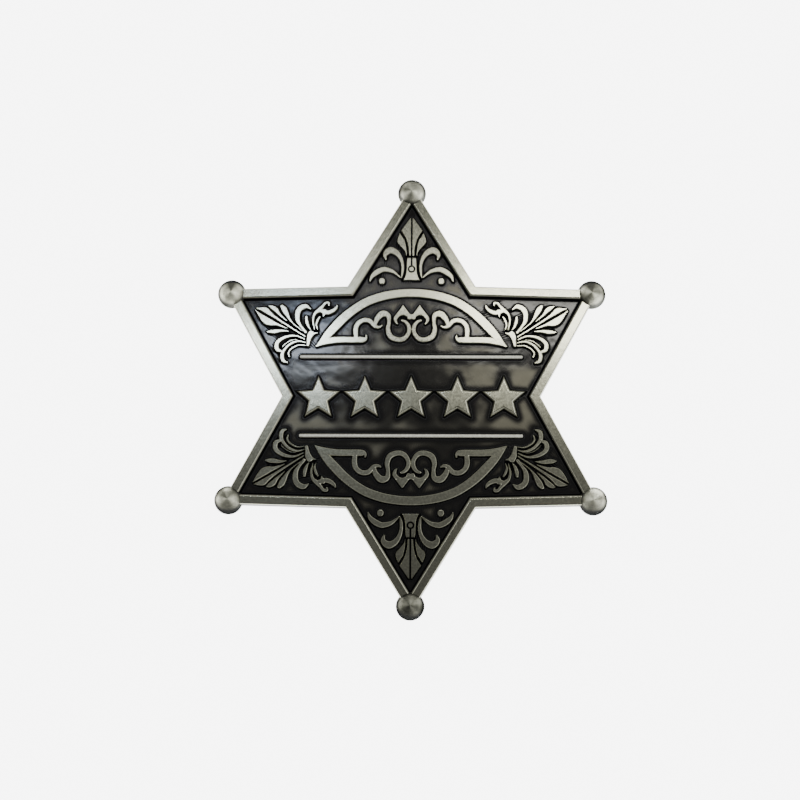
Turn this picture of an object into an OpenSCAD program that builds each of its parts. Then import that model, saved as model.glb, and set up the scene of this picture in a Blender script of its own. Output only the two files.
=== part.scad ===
/* [Star] */
// height over two opposite balls
badge_h = 89.5; // [82:0.5:100]
// diameter of the ball on each tip
ball_d = 5.7; // [4.8:0.1:6.2]
// how far the pointed tip runs on past the centre of its ball
tip_past = 1.55; // [1:0.05:1.8]
// depth of the notch between two arms, as a share of the tip radius
notch_share = 0.595; // [0.585:0.005:0.615]
// width of the raised rim
rim_w = 2.0; // [1.6:0.1:2.3]
// width of the slope on the inner side of the rim
rim_slope_w = 0.55; // [0.3:0.05:0.8]
// how far that slope drops from the top of the rim
slope_drop = 0.35; // [0.2:0.05:0.5]

/* [Heights] */
// thickness of the plate under the ground of the relief
ground_t = 2.1; // [1.6:0.1:3]
// height of the rim over the ground
rim_rise = 0.9; // [0.7:0.05:1.2]
// height of the scrolls and leaves over the ground
relief_rise = 0.75; // [0.5:0.05:0.9]
// height of the two thin bars over the ground
bar_rise = 0.6; // [0.4:0.05:0.8]
// height of the row of stars over the ground
row_rise = 1.1; // [0.8:0.05:1.3]
// height of a ball centre over the back of the plate
ball_lift = 1.55; // [1.2:0.05:1.8]

/* [Middle band] */
// gap between each thin bar and the scrollwork beyond it
bar_gap = 2.35; // [1.8:0.05:2.8]
// width of each thin bar
bar_w = 0.8; // [0.6:0.05:1]
// gap between the ends of a bar and the notches of the rim
bar_end_gap = 1.1; // [0.8:0.1:3]
// number of stars in the row
row_n = 5; // [3:1:5]
// gap between the row of stars and the bars
row_gap = 2.85; // [2.6:0.05:3.6]
// gap between the ends of the row and the notches of the rim
row_end_gap = 0.5; // [0.4:0.1:2]

/* [Ornament] */
// length of one corner palmette, as a share of the tip radius
palmette_share = 0.288; // [0.26:0.002:0.294]
// where a palmette starts, as a share of the tip radius
palmette_at = 0.548; // [0.54:0.002:0.556]
// length of the lily in the top and bottom arm, as a share of the tip radius
lily_share = 0.299; // [0.27:0.002:0.305]
// where a lily starts, as a share of the tip radius
lily_at = 0.543; // [0.538:0.001:0.55]
// half width of the arched scrollwork, as a share of the tip radius
arch_share = 0.444; // [0.43:0.002:0.45]
// where the arched scrollwork starts, as a share of the tip radius
arch_at = 0.2475; // [0.24:0.0025:0.255]

/* [Clasp] */
// length of the clasp over its base strip
clasp_len = 36; // [28:0.5:42]
// width of the clasp
clasp_w = 6; // [5:0.5:8]
// how far the clasp stands off the back of the plate
clasp_depth = 3.6; // [3.2:0.1:5]
// thickness of the base strip
strip_t = 0.8; // [0.6:0.1:1.1]
// length of the hinge block and of the catch block
block_len = 4; // [3:0.5:5]
// diameter of the pin wire
pin_d = 1.0; // [0.8:0.1:1.2]
// distance of the pin wire from the clasp's outer face
pin_cover = 0.6; // [0.4:0.1:0.8]

/* [Hidden] */
steps = 2;
round_from = 0.14;
arms = 6;
ring_r = (badge_h - ball_d) / 2;
tip_r = ring_r + tip_past;
notch_r = tip_r * notch_share;
half_turn = 180 / arms;
// distance of every straight edge of the star from the middle
edge_dist = tip_r * notch_r * sin(half_turn)
    / sqrt(tip_r * tip_r + notch_r * notch_r - 2 * tip_r * notch_r * cos(half_turn));
floor_scale = (edge_dist - rim_w) / edge_dist;
slope_scale = (edge_dist - rim_w + rim_slope_w) / (edge_dist - rim_w);
back_z = clasp_depth;
ground_z = back_z + ground_t;
rim_z = ground_z + rim_rise;
bury = 0.3;
floor_notch = notch_r * floor_scale;
arch_y = tip_r * arch_at;
bar_y = arch_y - bar_gap - bar_w / 2;
bar_len = 2 * (floor_notch - bar_end_gap);
row_r = bar_y - bar_w / 2 - row_gap;
// Waist of a row star as a share of its radius; its bevels as shares of its height and outline.
star_waist = 0.46;
star_wall = 0.48;
star_bevel = 0.86;
star_shrink = 0.89;
star_top = 0.76;
row_step = (floor_notch - row_end_gap - row_r * cos(18)) * 2 / (row_n - 1);
palmette_len = tip_r * palmette_share;
lily_len = tip_r * lily_share;
arch_half = tip_r * arch_share;
pin_z = pin_cover + pin_d / 2;

// Each table below is one stroke of the ornament, drawn from root to tip.
// Columns: [along, across, half width], in percent of that ornament's length.
palmette_strokes = [
    // collar at the root and the small horn on it
    [[-5, -11.5, 3.1], [-2.6, -5, 3.8], [-0.4, 1, 5.1], [-0.1, 7, 5.6]],
    [[0, 6, 4.5], [-5, 10.4, 2.2], [-8.6, 14, 0.5]],
    // large hook above the fan
    [[9, 4.9, 3], [20, 9.4, 2.7], [29.5, 15, 4.2], [35.8, 25, 4.9], [36, 34, 5],
        [30, 41.6, 4.4], [21, 41.3, 1.2]],
    // two leaves above the middle leaf
    [[14, 4, 0.9], [32, 6.6, 1.3], [42, 10.3, 2.5], [51, 15.6, 4.4], [58, 19.8, 5.1],
        [63.6, 22.2, 3.4]],
    [[44, 5.4, 0.7], [60, 8.9, 2.7], [69, 12.4, 4.5], [77, 12.8, 3.6], [81.5, 12, 1]],
    // middle leaf in two halves with a groove between them
    [[6, -1.6, 1.3], [34, -0.6, 1.8], [60, 0.9, 2.6], [74, 2.3, 4], [84, 3.3, 5.2],
        [97, -1.2, 0.8]],
    [[38, -4.9, 0.7], [56, -7.4, 3.2], [65, -9.9, 5.7], [73, -10.8, 6.6], [84, -8.6, 4.5],
        [97, -4.8, 0.6]],
    // drop shaped leaf below it
    [[33, -7.6, 0.7], [44, -12.9, 2.9], [52, -18.9, 4], [58, -22.8, 3.4], [62.4, -25.7, 1.2]],
    // outer hook below the fan
    [[4, -5.9, 1.2], [19, -8.1, 1.9], [31, -16.6, 3.1], [38, -27, 3.7], [39, -35.5, 4.3],
        [33.5, -42.2, 4], [26, -41.6, 2.4]],
    // thin sliver between the hooks
    [[14, -12, 0.5], [22, -18.5, 0.9], [27, -28, 0.9], [28.8, -35.5, 0.5]],
    // middle hook below the fan
    [[0, -9.8, 1], [12, -14.2, 2.1], [20.5, -25, 2.6], [23.5, -38, 3], [22.2, -46.5, 3.9],
        [16, -53.2, 3.6], [8.8, -52.4, 1.5]],
    // thin inner hook
    [[-2.5, -14, 0.9], [8, -19.5, 1.5], [14.6, -30, 1.7], [15.3, -38, 1.8], [10.8, -42.6, 1.4]],
    // small leaf under the large hook
    [[4, 12.5, 0.9], [10, 15.4, 2.6], [16.5, 21.2, 3.4], [20.4, 26.8, 2.4]],
    // curled stem, its side arm and its lower point
    [[-1.5, 16, 0.9], [8, 27, 2.1], [11.3, 38, 2.9], [8.6, 46.5, 4], [6.7, 55, 3.1],
        [5.4, 62, 2.7], [1, 64.8, 2.7], [-1.1, 61.6, 1.6]],
    [[5, 47.5, 4], [-5, 50, 4.2], [-11, 56.5, 3.8], [-13.5, 63.5, 3], [-13, 68, 1.2]],
    [[0, 49, 4.8], [-1.6, 45, 3], [-3.3, 41, 0.6]],
    // small leaf beside the stem
    [[-5.8, 18.3, 0.8], [0, 24, 2], [2, 32, 2.3], [1.7, 38, 1.7]]
];

lily_strokes = [
    // side petal
    [[38.8, 8, 0.6], [45, 8.7, 1.3], [51, 10.8, 2.9], [57.5, 14, 4.9], [63.2, 16.9, 6.3],
        [69.5, 18, 3.6], [75.8, 18.3, 0.5]],
    // upper scroll
    [[4.5, 15.8, 0.8], [13, 14.4, 2.5], [24, 14.1, 3], [35, 17, 3.7], [44, 23.4, 4.9],
        [48.3, 32, 5.9], [46, 38, 5.4], [40.5, 41.6, 3.9], [34, 40.2, 1.8]],
    // lower scroll
    [[5, 17.5, 1.2], [14.4, 29, 3.3], [17.9, 41.5, 4.5], [16.6, 48, 4.8], [12.6, 55.3, 4.8],
        [6.5, 61.8, 3.6], [-1, 64.6, 1.3]]
];
// Columns: [along, across, radius], in percent of the lily's length.
lily_dots = [[-0.7, 46, 5.4]];
// Columns: [along, half width], in percent of the lily's length.
lily_collar = [[0, 14.2], [3, 11.8], [7, 10], [12, 8.7], [20, 8], [30, 7.9], [34.5, 7.5],
    [36.6, 6.6], [37.3, 5.6]];
lily_petal = [[38.8, 4.3], [50, 5], [56, 5.9], [61, 7.2], [66, 8.9], [71, 11.4], [75.5, 14.2],
    [79.6, 17.1], [100.3, 2.6]];
// ring groove in the collar: where it lies, its outer radius and the dot in it
lily_ring = [18.3, 6, 3.4];
// groove from that ring up the middle: start, end, half width
lily_groove = [22, 102, 1.4];

arch_strokes = [
    // arched band, from the top down to its pointed foot
    [[53.5, -4, 4.8], [53.2, 9, 4.8], [51.2, 24, 4.85], [48.1, 36, 4.9], [43.3, 48, 4.9],
        [35.7, 60, 4.95], [27.4, 70, 5.1], [17.1, 80, 5.1], [6.9, 89.2, 4.1], [-3.6, 99.2, 0.6]],
    // straight foot bar with a hooked end
    [[-3.4, 98.6, 0.8], [2, 87, 3.6], [3.5, 76, 3.7], [3.6, 64, 3.6], [3.6, 55, 3.6],
        [3.9, 49.5, 3.2], [5.6, 47, 1.7], [8.2, 47.2, 1]],
    // first scroll, rising from the bar
    [[4, 57.4, 2.6], [13.5, 58.2, 3.05], [20, 56.3, 2.9], [24.2, 50.6, 2.85],
        [23.6, 43.6, 2.8], [18.2, 38.4, 2.4], [17.1, 34, 1.8], [18.4, 30.8, 1]],
    // second scroll: over the top, down and round to the middle
    [[20, 38, 2.4], [26, 35.8, 3.2], [31.2, 30.5, 3.8], [29.6, 24.4, 3.1], [22, 23.5, 2.3],
        [14.5, 24.4, 2.8], [7.2, 21.6, 3.2], [3.9, 14, 2.9], [5.2, 7.5, 2.8],
        [11, 3, 2.5], [17.5, 2.7, 2.5], [22.4, 5.8, 2.1], [24.2, 9.8, 1.4]],
    // half of the crest in the middle
    [[27.4, -2, 2.7], [29.2, 2, 2.6], [31.8, 8, 2.5], [30.6, 13, 2.5], [26.4, 16.6, 2.4],
        [22.3, 16, 1.7], [20.3, 14.2, 0.7]]
];
// peak of the crest: [along, across, half width] at its base and at its point
arch_peak = [[30.5, 8.7, 8], [40.6, 8.7, 0.5]];

function spline(a, b, c, d, t) = 0.5 * (2 * b + (c - a) * t
    + (2 * a - 5 * b + 4 * c - d) * t * t + (3 * b - a - 3 * c + d) * t * t * t);

// Smooth line through the rows of a stroke, in mm.
function smooth_line(rows, len_mm) = [
    for (i = [0:len(rows) - 2], s = [0:(i < len(rows) - 2 ? steps - 1 : steps)])
        spline(rows[max(i - 1, 0)], rows[i], rows[i + 1], rows[min(i + 2, len(rows) - 1)],
            s / steps) * len_mm / 100
];

function point_of(p) = [p[0], p[1]];
function unit_of(v) = v / norm(v);
function left_of(v) = [-v[1], v[0]];
function side_dir(line, i) = left_of(unit_of(
    point_of(line[min(i + 1, len(line) - 1)]) - point_of(line[max(i - 1, 0)])));

module stroke(rows, len_mm) {
    line = smooth_line(rows, len_mm);
    last = len(line) - 1;
    for (i = [0:last - 1]) {
        a = side_dir(line, i) * line[i][2];
        b = side_dir(line, i + 1) * line[i + 1][2];
        p = point_of(line[i]);
        q = point_of(line[i + 1]);
        polygon([p - a, q - b, q + b, p + a]);
    }
    for (end = [line[0], line[last]]) if (end[2] > round_from)
        translate(point_of(end)) circle(r = end[2], $fn = 8);
}

module strokes(list, len_mm) {
    for (rows = list) stroke(rows, len_mm);
}

// Plan of a star with straight edges all equally far from the middle.
module star_plan(tip, notch, n) {
    polygon([for (i = [0:2 * n - 1])
        (i % 2 == 0 ? tip : notch) * [cos(90 + i * 180 / n), sin(90 + i * 180 / n)]]);
}

module mirrored_across() {
    children();
    mirror([0, 1]) children();
}

// One corner palmette with its root on the x axis, growing along +x.
module palmette_plan() {
    strokes(palmette_strokes, palmette_len);
}

module lily_plan() {
    pc = lily_len / 100;
    mirrored_across() {
        strokes(lily_strokes, lily_len);
        for (d = lily_dots) translate([d[0], d[1]] * pc) circle(r = d[2] * pc, $fn = 14);
    }
    difference() {
        for (rows = [lily_collar, lily_petal])
            polygon(concat([for (r = rows) [r[0], r[1]] * pc],
                [for (i = [len(rows) - 1:-1:0]) [rows[i][0], -rows[i][1]] * pc]));
        translate([lily_ring[0] * pc, 0]) circle(r = lily_ring[1] * pc, $fn = 18);
        translate([lily_groove[0], -lily_groove[2]] * pc)
            square([lily_groove[1] - lily_groove[0], 2 * lily_groove[2]] * pc);
    }
    translate([lily_ring[0] * pc, 0]) circle(r = lily_ring[2] * pc, $fn = 14);
}

module arch_plan() {
    pc = arch_half / 100;
    foot = arch_peak[0];
    peak = arch_peak[1];
    mirrored_across() {
        strokes(arch_strokes, arch_half);
        polygon([[foot[0], foot[1] - foot[2]], [peak[0], peak[1] - peak[2]],
            [peak[0], peak[1] + peak[2]], [foot[0], foot[1] + foot[2]]] * pc);
    }
}

// One plan as raised metal on the ground, its overlapping strokes joined first.
module raised(rise) {
    translate([0, 0, ground_z - bury]) linear_extrude(height = bury + rise)
        offset(delta = 0.004) children();
}

// All scrolls and leaves, laid out once and mirrored to the lower half.
module relief() {
    for (flip = [0, 1]) mirror([0, flip]) {
        rotate(90) translate([tip_r * lily_at, 0]) raised(relief_rise) lily_plan();
        rotate(90) translate([arch_y, 0]) raised(relief_rise) arch_plan();
        for (side = [0, 1]) mirror([side, 0])
            rotate(half_turn) translate([tip_r * palmette_at, 0])
                raised(relief_rise) palmette_plan();
    }
}

module bar(y) {
    translate([0, y, 0]) raised(bar_rise) {
        square([bar_len - bar_w, bar_w], center = true);
        for (x = [-1, 1]) translate([x * (bar_len - bar_w) / 2, 0]) circle(d = bar_w, $fn = 12);
    }
}

// One raised five pointed star, flat on top with bevelled shoulders, centred by its height.
module row_star() translate([0, -row_r * (1 - cos(36)) / 2, 0]) {
    levels = [[-bury, 1], [row_rise * star_wall, 1], [row_rise * star_bevel, star_shrink],
              [row_rise, star_top]];
    corners = [for (level = levels, i = [0:9])
        let (r = row_r * level[1] * (i % 2 == 0 ? 1 : star_waist))
            [r * cos(90 + 36 * i), r * sin(90 + 36 * i), ground_z + level[0]]];
    sides = [for (k = [0:len(levels) - 2], i = [0:9])
        let (low = 10 * k, high = low + 10, j = (i + 1) % 10)
            [low + i, high + i, high + j, low + j]];
    top = 10 * (len(levels) - 1);
    polyhedron(corners, concat([[for (i = [0:9]) i], [for (i = [9:-1:0]) top + i]], sides));
}

// Flat plate with the raised rim, its inner side sloped down to the ground.
module plate() {
    well_z = ground_z + rim_rise - slope_drop;
    difference() {
        translate([0, 0, back_z]) linear_extrude(height = rim_z - back_z)
            star_plan(tip_r, notch_r, arms);
        translate([0, 0, ground_z]) linear_extrude(height = 2 * rim_rise)
            star_plan(tip_r * floor_scale, notch_r * floor_scale, arms);
        translate([0, 0, well_z])
            linear_extrude(height = slope_drop * 2, scale = 2 * slope_scale - 1)
                star_plan(tip_r * floor_scale, notch_r * floor_scale, arms);
    }
}

module cast_star() color([0.62, 0.61, 0.57]) {
    plate();
    relief();
    for (y = [-bar_y, bar_y]) bar(y);
    for (i = [0:row_n - 1])
        translate([(i - (row_n - 1) / 2) * row_step, 0, 0]) row_star();
    for (i = [0:arms - 1]) rotate(90 + i * 2 * half_turn)
        translate([ring_r, 0, back_z + ball_lift]) sphere(d = ball_d, $fn = 64);
}

module pin_clasp() color([0.70, 0.70, 0.68]) {
    translate([-clasp_len / 2, -clasp_w / 2, back_z - strip_t])
        cube([clasp_len, clasp_w, strip_t]);
    for (x = [-clasp_len / 2, clasp_len / 2 - block_len])
        translate([x, -clasp_w / 2, 0]) cube([block_len, clasp_w, back_z - strip_t / 2]);
    translate([-clasp_len / 2 + block_len / 2, 0, pin_z]) rotate([0, 90, 0])
        cylinder(d = pin_d, h = clasp_len - block_len, $fn = 32);
}

cast_star();
pin_clasp();
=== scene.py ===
import math

import bmesh
import bpy
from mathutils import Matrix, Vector


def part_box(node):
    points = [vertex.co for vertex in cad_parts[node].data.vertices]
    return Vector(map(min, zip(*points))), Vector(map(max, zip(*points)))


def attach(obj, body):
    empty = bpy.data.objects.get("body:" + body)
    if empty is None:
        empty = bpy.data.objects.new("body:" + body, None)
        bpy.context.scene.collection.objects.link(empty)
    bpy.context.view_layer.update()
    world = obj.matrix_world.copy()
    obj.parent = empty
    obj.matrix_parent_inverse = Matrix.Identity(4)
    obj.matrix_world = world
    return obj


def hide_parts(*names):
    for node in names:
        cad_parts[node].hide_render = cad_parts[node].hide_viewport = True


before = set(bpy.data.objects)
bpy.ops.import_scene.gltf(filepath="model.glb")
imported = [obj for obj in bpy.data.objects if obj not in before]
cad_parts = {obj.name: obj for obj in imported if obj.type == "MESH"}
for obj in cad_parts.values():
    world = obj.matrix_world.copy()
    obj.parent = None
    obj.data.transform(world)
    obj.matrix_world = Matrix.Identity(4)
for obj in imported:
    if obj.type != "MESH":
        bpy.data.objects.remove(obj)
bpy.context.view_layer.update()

# STAR PLATE
# The blank of the badge: a flat star cast in zinc alloy, its rim raised round the sunken ground.
# The rim is flat on top and slopes down on its inner side. Its finish comes under DARKENED GROUND.

MM = 0.001
star_low, star_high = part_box("cast_star")
back_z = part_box("pin_clasp")[1].z

ARMS = 6
BALL_D = 5.7 * MM
TIP_PAST = 1.55 * MM
NOTCH_SHARE = 0.595
RIM_W = 2.0 * MM
GROUND_T = 2.1 * MM

ring_r = (star_high.y - star_low.y - BALL_D) / 2
tip_r = ring_r + TIP_PAST
notch_r = tip_r * NOTCH_SHARE
half_turn = math.pi / ARMS
edge_dist = tip_r * notch_r * math.sin(half_turn) / math.sqrt(
    tip_r ** 2 + notch_r ** 2 - 2 * tip_r * notch_r * math.cos(half_turn))
ground_z = back_z + GROUND_T

# Section through the rim: (how far in from the star's edge, height over the back), in mm.
RIM_SECTION = [
    (0.17, 0.00), (0.14, 0.00), (0.03, 0.05), (0.00, 0.16), (0.00, 2.72), (0.03, 2.87),
    (0.10, 2.96), (0.19, 3.00), (0.22, 3.00), (1.60, 3.00), (1.63, 3.00), (1.69, 2.985),
    (1.74, 2.96), (1.92, 2.83), (1.97, 2.77), (2.00, 2.68), (2.02, 2.50), (2.05, 2.20),
    (2.08, 2.12), (2.13, 2.10), (2.17, 2.10),
]
POINTS_PER_EDGE = 36
GROUND_RINGS = 56


def star_outline(inset):
    """Points round the star, its straight edges moved inwards by inset."""
    share = (edge_dist - inset) / edge_dist
    corners = []
    for i in range(2 * ARMS):
        radius = (tip_r if i % 2 == 0 else notch_r) * share
        angle = math.pi / 2 + i * half_turn
        corners.append(Vector((radius * math.cos(angle), radius * math.sin(angle), 0)))
    points = []
    for i, corner in enumerate(corners):
        following = corners[(i + 1) % len(corners)]
        for k in range(POINTS_PER_EDGE):
            points.append(corner.lerp(following, k / POINTS_PER_EDGE))
    return points


def add_object(name, mesh):
    """A new object at the origin, its place in its mesh."""
    made = bpy.data.objects.new(name, mesh)
    bpy.context.scene.collection.objects.link(made)
    return made


def skin_rings(shape, rings):
    """Faces from each closed ring of points to the next."""
    for outer, inner in zip(rings, rings[1:]):
        for k in range(len(outer)):
            n = (k + 1) % len(outer)
            shape.faces.new((outer[k], outer[n], inner[n], inner[k]))


def plate_mesh():
    """The plate: its rim's section carried round the star, closed by a fine ground and a back."""
    shape = bmesh.new()
    rings = [[shape.verts.new((p.x, p.y, back_z + height * MM)) for p in star_outline(inset * MM)]
             for inset, height in RIM_SECTION]
    last_inset = RIM_SECTION[-1][0] * MM
    for i in range(1, GROUND_RINGS):
        inset = last_inset + (edge_dist - last_inset) * i / GROUND_RINGS
        rings.append([shape.verts.new((p.x, p.y, ground_z)) for p in star_outline(inset)])
    skin_rings(shape, rings)
    for ring, centre_z, turned in ((rings[-1], ground_z, False), (rings[0], back_z, True)):
        centre = shape.verts.new((0, 0, centre_z))
        for k in range(len(ring)):
            n = (k + 1) % len(ring)
            face = (ring[k], ring[n], centre)
            shape.faces.new(face[::-1] if turned else face)
    bmesh.ops.recalc_face_normals(shape, faces=shape.faces)
    mesh = bpy.data.meshes.new("star_plate")
    shape.to_mesh(mesh)
    shape.free()
    return mesh


def add_node(tree, kind, inputs=None, **settings):
    """A node with its settings, its inputs set by name or number to a value or another socket."""
    made = tree.nodes.new(kind)
    for key, value in settings.items():
        setattr(made, key, value)
    for key, value in (inputs or {}).items():
        if isinstance(value, bpy.types.NodeSocket):
            tree.links.new(value, made.inputs[key])
        else:
            made.inputs[key].default_value = value
    return made


def maths(tree, operation, *values):
    """One sum in a node tree, its result as a socket."""
    return add_node(tree, "ShaderNodeMath", dict(enumerate(values)), operation=operation).outputs[0]


def ramp(tree, value, low, high, to_low=0.0, to_high=1.0, curve="SMOOTHSTEP"):
    """A value that runs from to_low to to_high while the given one runs from low to high."""
    return add_node(tree, "ShaderNodeMapRange", {
        "Value": value, "From Min": low, "From Max": high, "To Min": to_low, "To Max": to_high},
        interpolation_type=curve).outputs[0]


def blend(tree, factor, low, high, kind="RGBA"):
    """The low value where the factor is 0 and the high one where it is 1."""
    # The sockets of a Mix node share their names with others, so they are set by number.
    first, result = {"RGBA": (6, 2), "FLOAT": (2, 0)}[kind]
    return add_node(tree, "ShaderNodeMix", {0: factor, first: low, first + 1: high},
                    data_type=kind).outputs[result]


def axes(tree, vector):
    """The X, Y and Z of a vector, as sockets."""
    return add_node(tree, "ShaderNodeSeparateXYZ", {0: vector}).outputs


def vector_maths(tree, operation, *values):
    """One sum of vectors in a node tree, its result as a socket."""
    return add_node(tree, "ShaderNodeVectorMath", dict(enumerate(values)),
                    operation=operation).outputs[0]


def scaled(tree, vector, factor):
    """A vector or colour times a value."""
    return add_node(tree, "ShaderNodeVectorMath", {0: vector, "Scale": factor},
                    operation="SCALE").outputs[0]


def new_group(name, kind, inputs, outputs):
    """A node group with named inputs and outputs: (name, socket type, default value)."""
    tree = bpy.data.node_groups.new(name, kind)
    for label, socket, default in inputs:
        made = tree.interface.new_socket(label, in_out="INPUT", socket_type="NodeSocket" + socket)
        if default is not None:
            made.default_value = default
    for label, socket in outputs:
        tree.interface.new_socket(label, in_out="OUTPUT", socket_type="NodeSocket" + socket)
    return tree, add_node(tree, "NodeGroupInput").outputs, add_node(tree, "NodeGroupOutput")


def grow(name, mesh, tree, values, material):
    """Runs a Geometry Nodes tree on a mesh and keeps the result as a plain mesh."""
    made = add_object(name, mesh)
    modifier = made.modifiers.new("shape", "NODES")
    modifier.node_group = tree
    values = {**values, "Material": material}
    for item in tree.interface.items_tree:
        if item.item_type == "SOCKET" and item.in_out == "INPUT" and item.name in values:
            modifier[item.identifier] = values[item.name]
    made.update_tag()
    bpy.context.view_layer.update()
    result = bpy.data.meshes.new_from_object(
        made.evaluated_get(bpy.context.evaluated_depsgraph_get()))
    made.modifiers.clear()
    made.data = result
    result.name = name
    return made


def cast_piece(piece):
    """Fixes a piece to the badge as part of its casting."""
    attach(piece, "root")
    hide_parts("cast_star")


def antique_group():
    """Bright rubbed metal on the high parts, dark on the low ones, both broken by wear: the dark is
    patina on the relief and plate, and painted shade on the balls.
    """
    tree, given, result = new_group("antique silver", "ShaderNodeTree", [
        ("Bright", "Color", (0.43, 0.428, 0.335, 1)), ("Dark", "Color", (0.02, 0.02, 0.022, 1)),
        ("Low Height", "Float", 0.0), ("High Height", "Float", 0.001),
        ("Grain Scale", "Float", 2600.0), ("Dent Scale", "Float", 700.0), ("Wear", "Float", 0.25),
    ], [("Color", "Color"), ("Rubbed", "Float"), ("Roughness", "Float"), ("Dents", "Float")])
    place = add_node(tree, "ShaderNodeTexCoord").outputs["Object"]
    height = axes(tree, place)["Z"]
    blotch = add_node(tree, "ShaderNodeTexNoise", {
        "Vector": place, "Scale": 900.0, "Detail": 4.0, "Roughness": 0.6}).outputs["Fac"]
    uneven_top = add_node(tree, "ShaderNodeTexNoise", {
        "Vector": place, "Scale": given["Dent Scale"], "Detail": 1.0}).outputs["Fac"]
    fine = add_node(tree, "ShaderNodeTexNoise", {
        "Vector": place, "Scale": given["Grain Scale"], "Detail": 2.0,
        "Roughness": 0.6}).outputs["Fac"]
    rise = ramp(tree, height, given["Low Height"], given["High Height"])
    uneven = maths(tree, "MULTIPLY", maths(tree, "SUBTRACT", blotch, 0.5), given["Wear"])
    rubbed = add_node(tree, "ShaderNodeMath", {0: rise, 1: 1.15, 2: uneven},
                      operation="MULTIPLY_ADD", use_clamp=True).outputs[0]
    speck = maths(tree, "MULTIPLY_ADD", maths(tree, "SUBTRACT", fine, 0.5), 0.8, 1.0)
    shade = scaled(tree, blend(tree, rubbed, given["Dark"], given["Bright"]), speck)
    tree.links.new(shade, result.inputs["Color"])
    tree.links.new(rubbed, result.inputs["Rubbed"])
    tree.links.new(maths(tree, "MULTIPLY_ADD", fine, 0.06, 0.085), result.inputs["Roughness"])
    tree.links.new(uneven_top, result.inputs["Dents"])
    return tree


antique = antique_group()
DENT_DEPTH = 0.03 * MM


def cast_metal(name, low, high, wear, dark=(0.02, 0.02, 0.022)):
    """Antique silver casting metal, dark below the height low and bright above high."""
    material = bpy.data.materials.new(name)
    material.use_nodes = True
    tree = material.node_tree
    shader = tree.nodes["Principled BSDF"]
    finish = add_node(tree, "ShaderNodeGroup", node_tree=antique)
    finish.inputs["Low Height"].default_value = low
    finish.inputs["High Height"].default_value = high
    finish.inputs["Wear"].default_value = wear
    finish.inputs["Dark"].default_value = (*dark, 1)
    shader.inputs["Metallic"].default_value = 1.0
    tree.links.new(finish.outputs["Color"], shader.inputs["Base Color"])
    tree.links.new(finish.outputs["Roughness"], shader.inputs["Roughness"])
    relief = add_node(tree, "ShaderNodeBump", {
        "Height": finish.outputs["Dents"], "Strength": 0.1, "Distance": DENT_DEPTH})
    tree.links.new(relief.outputs[0], shader.inputs["Normal"])
    return material


# PALMETTES
# A fan of leaves over hooked scrolls fills each side arm, growing outwards from a small collar.
# They are raised parts of the casting, nearly flat on top with soft shoulders and dark walls.

PALMETTE_SHARE = 0.288
PALMETTE_AT = 0.548
RELIEF_RISE = 0.75 * MM
RELIEF_DARK_TO, RELIEF_BRIGHT_FROM = 0.05 * MM, 0.45 * MM
# Points round a stroke's section, and the widest its shoulder gets as a share of half its width.
SECTION_POINTS = 24
WIDEST_SHOULDER = 0.55
FOLD = math.radians(42)

# One table for each stroke, from root to tip: (along, across, half width) in percent of the length.
PALMETTE_STROKES = {
    "collar": [(-5, -11.5, 3.1), (-2.6, -5, 3.8), (-0.4, 1, 5.1), (-0.1, 7, 5.6)],
    "collar horn": [(0, 6, 4.5), (-5, 10.4, 2.2), (-8.6, 14, 0.5)],
    "large hook": [(9, 4.9, 3), (20, 9.4, 2.7), (29.5, 15, 4.2), (35.8, 25, 4.9), (36, 34, 5),
                   (30, 41.6, 4.4), (21, 41.3, 1.2)],
    "third leaf": [(14, 4, 0.9), (32, 6.6, 1.3), (42, 10.3, 2.5), (51, 15.6, 4.4),
                   (58, 19.8, 5.1), (63.6, 22.2, 3.4)],
    "second leaf": [(44, 5.4, 0.7), (60, 8.9, 2.7), (69, 12.4, 4.5), (77, 12.8, 3.6),
                    (81.5, 12, 1)],
    "middle leaf, upper half": [(6, -1.6, 1.3), (34, -0.6, 1.8), (60, 0.9, 2.6), (74, 2.3, 4),
                                (84, 3.3, 5.2), (97, -1.2, 0.8)],
    "middle leaf, lower half": [(38, -4.9, 0.7), (56, -7.4, 3.2), (65, -9.9, 5.7),
                                (73, -10.8, 6.6), (84, -8.6, 4.5), (97, -4.8, 0.6)],
    "drop leaf": [(33, -7.6, 0.7), (44, -12.9, 2.9), (52, -18.9, 4), (58, -22.8, 3.4),
                  (62.4, -25.7, 1.2)],
    "outer hook": [(4, -5.9, 1.2), (19, -8.1, 1.9), (31, -16.6, 3.1), (38, -27, 3.7),
                   (39, -35.5, 4.3), (33.5, -42.2, 4), (26, -41.6, 2.4)],
    "sliver": [(14, -12, 0.5), (22, -18.5, 0.9), (27, -28, 0.9), (28.8, -35.5, 0.5)],
    "middle hook": [(0, -9.8, 1), (12, -14.2, 2.1), (20.5, -25, 2.6), (23.5, -38, 3),
                    (22.2, -46.5, 3.9), (16, -53.2, 3.6), (8.8, -52.4, 1.5)],
    "inner hook": [(-2.5, -14, 0.9), (8, -19.5, 1.5), (14.6, -30, 1.7), (15.3, -38, 1.8),
                   (10.8, -42.6, 1.4)],
    "small leaf": [(4, 12.5, 0.9), (10, 15.4, 2.6), (16.5, 21.2, 3.4), (20.4, 26.8, 2.4)],
    "curled stem": [(-1.5, 16, 0.9), (8, 27, 2.1), (11.3, 38, 2.9), (8.6, 46.5, 4),
                    (6.7, 55, 3.1), (5.4, 62, 2.7), (1, 64.8, 2.7), (-1.1, 61.6, 1.6)],
    "side arm": [(5, 47.5, 4), (-5, 50, 4.2), (-11, 56.5, 3.8), (-13.5, 63.5, 3), (-13, 68, 1.2)],
    "lower point": [(0, 49, 4.8), (-1.6, 45, 3), (-3.3, 41, 0.6)],
    "side leaf": [(-5.8, 18.3, 0.8), (0, 24, 2), (2, 32, 2.3), (1.7, 38, 1.7)],
}


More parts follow.
